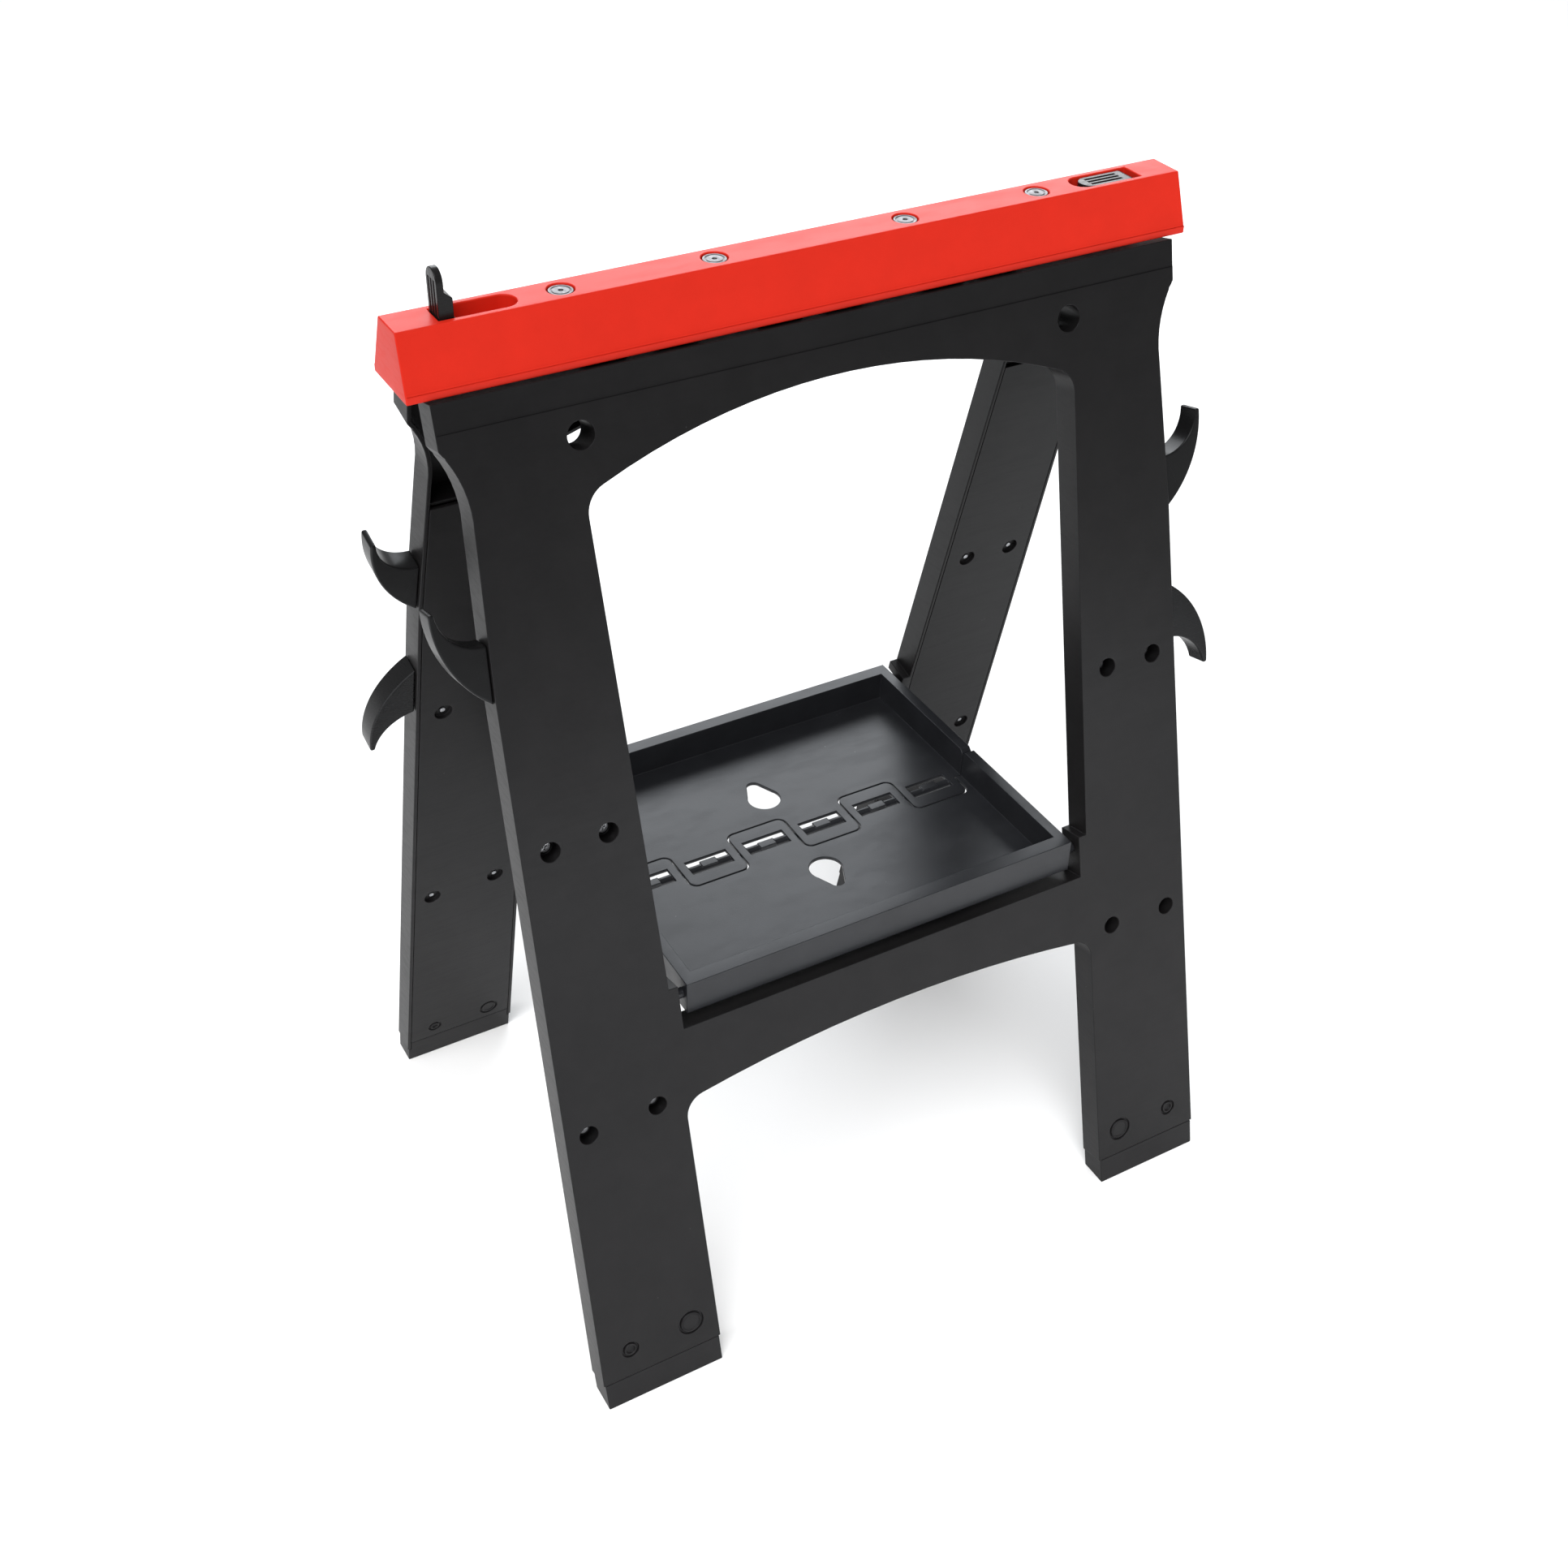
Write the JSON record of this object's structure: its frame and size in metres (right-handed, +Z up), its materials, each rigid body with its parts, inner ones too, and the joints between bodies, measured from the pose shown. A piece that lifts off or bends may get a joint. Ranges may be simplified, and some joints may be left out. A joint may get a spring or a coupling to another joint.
{
  "type": "folding sawhorse",
  "caption": "Folding plastic sawhorse: flat beam with flip-up stops over two hinged leg frames, spread and locked by a folding tray, with tool hooks on the legs.",
  "frame": {"origin": "on the floor at the middle of the stand, below the middle of the beam", "axes": "+X along the beam, -Y towards the front leg frame, +Z up"},
  "size_m": [0.619, 0.4454, 0.8298],
  "materials": {
    "red_plastic": "semi-matte moulded red plastic",
    "black_plastic": "matte moulded black plastic with a fine grain",
    "tray_plastic": "smooth satin black plastic",
    "foot_plastic": "matte black plastic",
    "hook_plastic": "satin black plastic",
    "stop_plastic": "glossy black plastic",
    "steel": "zinc-plated steel, lightly dulled"
  },
  "bodies": {
    "beam": {"beam_cap": "red_plastic", "beam_core": "black_plastic", "cap_screws": "steel", "hinge_rod": "steel"},
    "left_stop": {"left_stop": "stop_plastic"},
    "right_stop": {"right_stop": "stop_plastic"},
    "front_frame": {"front_shell": "black_plastic", "front_left_cover": "black_plastic", "front_right_cover": "black_plastic", "front_left_foot": "foot_plastic", "front_right_foot": "foot_plastic", "front_left_hook": "hook_plastic", "front_right_hook": "hook_plastic", "front_lower_hook": "hook_plastic", "front_screws": "steel"},
    "rear_frame": {"rear_shell": "black_plastic", "rear_left_cover": "black_plastic", "rear_right_cover": "black_plastic", "rear_left_foot": "foot_plastic", "rear_right_foot": "foot_plastic", "rear_left_hook": "hook_plastic", "rear_right_hook": "hook_plastic", "rear_lower_hook": "hook_plastic", "rear_screws": "steel"},
    "front_tray": {"front_tray": "tray_plastic", "tray_pin": "steel"},
    "rear_tray": {"rear_tray": "tray_plastic"}
  },
  "joints": [
    {"name": "front_fold", "type": "hinge", "parent": "beam", "child": "front_frame", "pos_m": [0, 0, 0.77], "axis": [1, 0, 0], "range_deg": [0, 14.2]},
    {"name": "rear_fold", "type": "hinge", "parent": "beam", "child": "rear_frame", "pos_m": [0, 0, 0.77], "axis": [-1, 0, 0], "range_deg": [0, 14.2]},
    {"name": "front_tray_swing", "type": "hinge", "parent": "front_frame", "child": "front_tray", "pos_m": [0, -0.13178, 0.3124], "axis": [1, 0, 0], "range_deg": [0, 75.54]},
    {"name": "tray_break", "type": "hinge", "parent": "front_tray", "child": "rear_tray", "pos_m": [0, 0, 0.2975], "axis": [-1, 0, 0], "range_deg": [0, 179.48]},
    {"name": "left_stop_turn", "type": "hinge", "parent": "beam", "child": "left_stop", "pos_m": [-0.254, 0, 0.7918], "axis": [0, 1, 0], "range_deg": [0, 90]},
    {"name": "right_stop_turn", "type": "hinge", "parent": "beam", "child": "right_stop", "pos_m": [0.254, 0, 0.7918], "axis": [0, 1, 0], "range_deg": [0, 90]}
  ],
  "couplings": [
    {"joint": "rear_fold", "follows": "front_fold", "ratio": 1},
    {"joint": "front_tray_swing", "follows": "front_fold", "ratio": 5.3197},
    {"joint": "tray_break", "follows": "front_fold", "ratio": 12.639}
  ]
}
